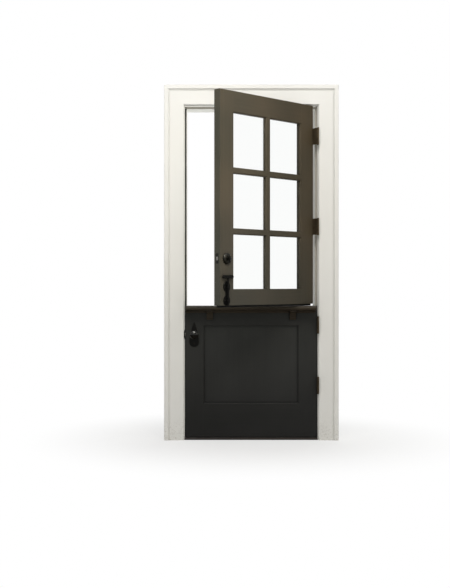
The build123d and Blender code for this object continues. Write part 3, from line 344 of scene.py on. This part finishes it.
finishes = {
    "leafUp": paintTimber("leafPaintUpright", upperLitCoat, "z", -swing["angle"]),
    "leafAcross": paintTimber("leafPaintAcross", upperLitCoat, "x", -swing["angle"]),
    "lowerUp": paintTimber("lowerPaintUpright", lowerShadedCoat, "z"),
    "lowerAcross": paintTimber("lowerPaintAcross", lowerShadedCoat, "x"),
    "panel": paintTimber("panelPaint", panelLitCoat, "z"),
    "shelf": paintTimber("shelfPaint", shelfCoat, "x"),
    "trimUp": paintTrim("trimPaintUpright", whiteCoat, "z", 0.20),
    "trimAcross": paintTrim("trimPaintAcross", whiteCoat, "x", 0.12),
    "jambUp": paintTrim("jambPaintUpright", whiteCoat, "z", 0.50, 0.7),
    "jambAcross": paintTrim("jambPaintAcross", whiteCoat, "x", 0.20),
    "bronze": agedMetal("oilRubbedBronze", bronzeFinish, 0.0, 0.55),
    "knob": agedMetal("knobBronze", knobFinish, 0.0, 0.45),
    "plate": agedMetal("plateBronze", plateFinish, 0.0, 0.6),
    "hinge": agedMetal("hingeBronze", hingeFinish, 0.0, 0.6),
    "iron": agedMetal("forgedIron", ironFinish, 0.55, 0.5),
    "bolt": brushedSteel("boltSteel", (0.62, 0.60, 0.55)),
    "spindle": brushedSteel("spindleSteel", (0.5, 0.5, 0.5)),
    "glass": windowGlass("windowGlass"),
    "darkSeal": rubber("darkSeal", (0.012, 0.012, 0.012), (0.050, 0.047, 0.042)),
    # one seal rubber in two tones: the latch strip darker as painted shade, the hinge and head strips paler as painted
    # light
    "shadedLatchSeal": rubber("shadedLatchSeal", (0.040, 0.040, 0.037), (0.075, 0.073, 0.066)),
    "litPaleSeal": rubber("litPaleSeal", (0.52, 0.49, 0.43), (0.62, 0.59, 0.52)),
    "sill": oiledSill("sillTimber"),
}
print("finishes written:", len(finishes))

hingeNumbers = (1, 2, 3, 4)   # from the top
worn = {
    "leafUp": ["upper_lock_stile", "upper_hinge_stile", "upright_muntin", "glazing_beads"],
    "leafAcross": ["upper_top_rail", "upper_bottom_rail", "lower_cross_muntin", "upper_cross_muntin"],
    "lowerUp": ["lower_lock_stile", "lower_hinge_stile"],
    "panel": ["lower_panel"],
    "lowerAcross": ["lower_top_rail", "lower_bottom_rail"],
    "shelf": ["shelf", "shelf_moulding", "shelf_bracket_latch", "shelf_bracket_hinge"],
    "trimUp": ["casing_latch", "casing_hinge", "backband_latch", "backband_hinge"],
    "trimAcross": ["casing_head", "backband_head"],
    "jambUp": ["latch_jamb", "hinge_jamb"],
    "jambAcross": ["head_jamb"],
    "bronze": ["deadbolt_case", "deadbolt_rosette", "deadbolt_cylinder", "deadbolt_thumbturn", "latch_case",
               "deadbolt_strike", "latch_strike"],
    "knob": ["inside_knob", "outside_knob"],
    "plate": ["inside_escutcheon", "outside_escutcheon"],
    "hinge": ["hinge_pins"] + [f"hinge_{number}_{side}_plate" for number in hingeNumbers for side in ("jamb", "door")],
    "iron": ["slide_bolt_plate", "slide_bolt_staples", "slide_bolt_rod", "bolt_keeper"],
    "bolt": ["deadbolt_bolt", "latch_bolt"],
    "spindle": ["knob_spindle"],
    "glass": ["glass_panes"],
    "darkSeal": ["meeting_seal", "bottom_sweep"],
    # the latch seal is painted darker as shade, the hinge and head seals paler as painted light
    "shadedLatchSeal": ["weatherstrip_latch"],
    "litPaleSeal": ["weatherstrip_hinge", "weatherstrip_head"],
    "sill": ["sill"],
}
for finish, names in worn.items():
    for name in names:
        piece = nodes[name]
        piece.data.materials.clear()
        piece.data.materials.append(finishes[finish])
left = set(nodes) - {name for names in worn.values() for name in names}
print("nodes painted, left plain:", sorted(left))


# Screw heads: a shallow dome with a cross or a slot pressed in
def facing(direction):   # turns a head's own Z to look along a direction
    return Vector(direction).to_track_quat("Z", "Y").to_matrix().to_4x4()


headGrid = {"spokes": 40, "rings": 9, "crossReach": 0.68, "rim": 0.98, "firstTurn": 0.7, "nextTurn": 2.1}


def headMesh(size, cross, turn):
    spokes, rings = headGrid["spokes"], headGrid["rings"]
    verts, faces = [(0, 0, size["dome"] - size["deep"])], []
    for ring in range(1, rings + 1):
        share = ring / rings
        for spoke in range(spokes):
            angle = 2 * math.pi * spoke / spokes
            u, v = share * math.cos(angle + turn), share * math.sin(angle + turn)
            arm = min(abs(u), abs(v)) if cross else abs(u)
            inside = arm < size["slot"] and (not cross or share < headGrid["crossReach"])
            height = size["dome"] * (1 - share ** 2) - (size["deep"] if inside else 0)
            verts.append((size["radius"] * share * math.cos(angle), size["radius"] * share * math.sin(angle), height))
    for spoke in range(spokes):   # a short skirt sinks under the surface
        angle = 2 * math.pi * spoke / spokes
        rim = size["radius"] * headGrid["rim"]
        verts.append((rim * math.cos(angle), rim * math.sin(angle), -size["skirt"]))
    for spoke in range(spokes):
        following = (spoke + 1) % spokes
        faces.append((0, 1 + spoke, 1 + following))
        for ring in range(rings):
            a, b = 1 + ring * spokes + spoke, 1 + ring * spokes + following
            faces.append((a, a + spokes, b + spokes, b))
    last = 1 + rings * spokes
    faces.append(tuple(reversed(range(last, last + spokes))))
    return verts, faces


def screwSet(name, body, finish, size, spots, cross=True):
    verts, faces = [], []
    for count, (place, direction) in enumerate(spots):
        head, skin = headMesh(size, cross, headGrid["firstTurn"] + headGrid["nextTurn"] * count)
        move = place @ facing(direction)
        start = len(verts)
        verts += [move @ Vector(vert) for vert in head]
        faces += [tuple(start + corner for corner in face) for face in skin]
    mesh = bpy.data.meshes.new(name)
    mesh.from_pydata(verts, [], faces)
    mesh.materials.append(finishes[finish])
    piece = bpy.data.objects.new(name, mesh)
    bpy.context.scene.collection.objects.link(piece)
    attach(piece, body)


flatHead = {"radius": 0.0042, "dome": 0.0003, "deep": 0.0011, "slot": 0.17, "skirt": 0.0006}
domeHead = {"radius": 0.0034, "dome": 0.0013, "deep": 0.0009, "slot": 0.15, "skirt": 0.0006}
hingeRows = {"rise": (0.036, 0.012, -0.012, -0.036), "depth": (0.011, 0.023)}
hingeHeights = [box(f"hinge_{number}_jamb_plate")[2].z for number in hingeNumbers]


def hingeSpots(x, rows, place):
    for height in rows:
        for count, rise in enumerate(hingeRows["rise"]):
            yield place(x, leaf["room"] + hingeRows["depth"][count % 2], height + rise)


screwSet("jambHingeScrews", "frame", "hinge", flatHead,
         [(spot, (-1, 0, 0)) for spot in hingeSpots(doorway["half"], hingeHeights, at)])
screwSet("upperHingeScrews", "upper_leaf", "hinge", flatHead,
         [(spot, (1, 0, 0)) for spot in hingeSpots(leaf["edge"], hingeHeights[:2], onLeaf)])
screwSet("lowerHingeScrews", "lower_leaf", "hinge", flatHead,
         [(spot, (1, 0, 0)) for spot in hingeSpots(leaf["edge"], hingeHeights[2:], at)])

lock = {"middleY": (leaf["room"] + leaf["outside"]) / 2, "deadbolt": box("deadbolt_rosette")[2].z,
        "latch": box("inside_knob")[2].z, "x": box("inside_knob")[2].x, "plateHalf": 0.0222, "strikeHalf": 0.0285,
        "bevel": math.radians(3)}
lock["edgeX"] = -leaf["edge"] + (leaf["outside"] - leaf["room"]) / 2 * math.tan(lock["bevel"])
bevelOut = (-math.cos(lock["bevel"]), math.sin(lock["bevel"]), 0)
bothWays = (-1, 1)
screwSet("deadboltPlateScrews", "upper_leaf", "bronze", flatHead,
         [(onLeaf(lock["edgeX"], lock["middleY"], lock["deadbolt"] + side * lock["plateHalf"]), bevelOut)
          for side in bothWays])
screwSet("latchPlateScrews", "lower_leaf", "bronze", flatHead,
         [(at(lock["edgeX"], lock["middleY"], lock["latch"] + side * lock["plateHalf"]), bevelOut)
          for side in bothWays])
screwSet("strikeScrews", "frame", "bronze", flatHead,
         [(at(-doorway["half"], lock["middleY"], lock["deadbolt"] + side * lock["strikeHalf"]), (1, 0, 0))
          for side in bothWays]
         + [(at(-doorway["half"], lock["middleY"], lock["latch"] + side * lock["plateHalf"]), (1, 0, 0))
            for side in bothWays])

plates = {"thick": 0.003, "rises": (0.055, -0.057)}
plateFaces = (("inside", leaf["room"] - plates["thick"], -1), ("outside", leaf["outside"] + plates["thick"], 1))
for label, y, look in plateFaces:
    screwSet(label + "EscutcheonScrews", "lower_leaf", "bronze", domeHead,
             [(at(lock["x"], y, lock["latch"] + rise), (0, look, 0)) for rise in plates["rises"]], cross=False)

slidePlate = box("slide_bolt_plate")
slideX = closed(slidePlate[2]).x
slideBolt = {"thick": 0.004, "aside": 0.017, "lobe": 0.031, "sunk": 0.004}
slideRows = (slidePlate[0].z + slideBolt["lobe"] - slideBolt["sunk"], slidePlate[1].z - slideBolt["lobe"])
screwSet("slideBoltScrews", "upper_leaf", "iron", domeHead,
         [(onLeaf(slideX + side * slideBolt["aside"], leaf["room"] - slideBolt["thick"], z), (0, -1, 0))
          for side in bothWays for z in slideRows], cross=False)
print("screws set")


# Floor that keeps the near shadow and fades to white far from the door
floorLook = {"half": 9, "near": 0.35, "far": 1.45, "base": 0.55, "pale": (0.86, 0.855, 0.845),
             "dim": (0.80, 0.795, 0.785), "mirrored": (0.12, 0.10, 0.085)}


def makeFloor(look):
    sheet = Sheet("floorCoat")
    fine = sheet.noise(sheet.place(), 90.0, 3.0, 0.6)
    flat = sheet.mix(fine * 0.15, look["pale"], look["dim"])
    mirrored = sheet.add("ShaderNodeLightPath", out="Is Glossy Ray")
    flat = sheet.mix(mirrored, flat, look["mirrored"])   # shiny metal sees a dark floor
    spot = sheet.add("ShaderNodeVectorMath", {"operation": "LENGTH"}, {0: sheet.place()}, out="Value")
    far = sheet.add("ShaderNodeMapRange", {"interpolation_type": "SMOOTHSTEP"},
                    {"Value": spot, "From Min": look["near"], "From Max": look["far"]})
    amount = (look["base"] + (1 - look["base"]) * far) * sheet.watched()
    sheet.finish(Base_Color=sheet.mix(amount, flat, (0.0, 0.0, 0.0)), Roughness=0.85, Specular_IOR_Level=0.0,
                 Emission_Color=sheet.mix(amount, (0.0, 0.0, 0.0), (1.0, 1.0, 1.0)), Emission_Strength=1.0)
    mesh = bpy.data.meshes.new("floor")
    half = look["half"]
    mesh.from_pydata([(-half, -half, 0), (half, -half, 0), (half, half, 0), (-half, half, 0)], [], [(0, 1, 2, 3)])
    mesh.materials.append(sheet.home)
    floor = bpy.data.objects.new("floor", mesh)
    bpy.context.scene.collection.objects.link(floor)


studio = {"ambient": 0.27, "gloss": 0.34}


def makeWorld(light):   # white to the camera, a plain glow to everything else
    world = bpy.data.worlds.new("softRoom")
    bpy.context.scene.world = world
    sheet = Sheet("softRoom", world)
    sheet.tree.nodes.clear()
    gloss = sheet.add("ShaderNodeLightPath", out="Is Glossy Ray")
    glow = gloss * (light["gloss"] - light["ambient"]) + light["ambient"]
    back = sheet.add("ShaderNodeBackground", None, {"Color": (1.0, 1.0, 1.0), "Strength": sheet.watched().top(glow)})
    sheet.add("ShaderNodeOutputWorld", None, {"Surface": back})


# Lamps: a size makes a flat panel, a width in degrees makes a spot
lamps = {
    "ceilingGlow": {"place": (-0.1, -2.5, 3.5), "target": (-0.15, -0.2, 1.5), "size": (2.6, 1.8), "power": 52,
                    "colour": (1.0, 0.985, 0.945), "glints": True},
    "warmWall": {"place": (2.1, -1.9, 2.1), "target": (-0.1, -0.5, 1.6), "size": (1.2, 1.4), "power": 7,
                 "colour": (1.0, 0.88, 0.72), "glints": True},
    "softFront": {"place": (-0.8, -4.2, 1.2), "target": (-0.35, -0.1, 0.9), "size": (2.6, 1.2), "power": 16,
                  "colour": (0.98, 1.0, 0.98), "glints": False},
    "skyGlow": {"place": (0.32, 0.95, 0.25), "target": (0.0, -0.02, 2.04), "size": (0.7, 0.5), "power": 14,
                "colour": (1.0, 1.0, 0.98), "glints": False},
    "ceilingStrip": {"place": (-0.4, -1.15, 3.2), "target": (-0.35, -0.2, 0.9), "size": (6.4, 0.12), "power": 18,
                     "colour": (1.0, 1.0, 1.0), "glints": True},
    "ceilingSpot": {"place": (0.2, -2.7, 2.9), "target": (-0.27, -0.62, 1.64), "width": 38, "softness": 0.45,
                    "power": 96, "colour": (1.0, 0.94, 0.82), "glints": True},
    "outsideDay": {"place": (1.0, 2.1, 0.5), "target": (0.0, 0.0, 1.9), "size": (2.0, 1.4), "power": 56,
                   "colour": (0.97, 1.0, 0.96), "glints": False},
}


def hang(name, look):   # lights the door, stays out of sight, and shows in shiny metal where glints is on
    lamp = bpy.data.lights.new(name, "AREA" if "size" in look else "SPOT")
    if "size" in look:
        lamp.shape = "RECTANGLE"
        lamp.size, lamp.size_y = look["size"]
    else:
        lamp.spot_size = math.radians(look["width"])
        lamp.spot_blend = 1.0
        lamp.shadow_soft_size = look["softness"]
    lamp.energy = look["power"]
    lamp.color = look["colour"]
    holder = bpy.data.objects.new(name, lamp)
    holder.location = look["place"]
    holder.rotation_euler = (Vector(look["target"]) - Vector(look["place"])).to_track_quat("-Z", "Y").to_euler()
    holder.visible_camera = False
    holder.visible_transmission = False
    holder.visible_glossy = look["glints"]
    bpy.context.scene.collection.objects.link(holder)


makeFloor(floorLook)
makeWorld(studio)
for name, look in lamps.items():
    hang(name, look)

shot = {"place": (-0.2875, -6.3725, 0.960), "lens": 62.49, "sensor": 36, "shiftX": 0.0348, "shiftY": -0.017}
lens = bpy.data.cameras.new("photoCamera")
lens.sensor_width = shot["sensor"]
lens.lens = shot["lens"]
lens.shift_x = shot["shiftX"]
lens.shift_y = shot["shiftY"]
lens.clip_start, lens.clip_end = 0.05, 60
camera = bpy.data.objects.new("photoCamera", lens)
camera.location = shot["place"]
camera.rotation_euler = (math.radians(90), 0, 0)
bpy.context.scene.collection.objects.link(camera)
bpy.context.scene.camera = camera
bpy.context.scene.view_settings.view_transform = "Standard"
print("stage, lamps and camera set")
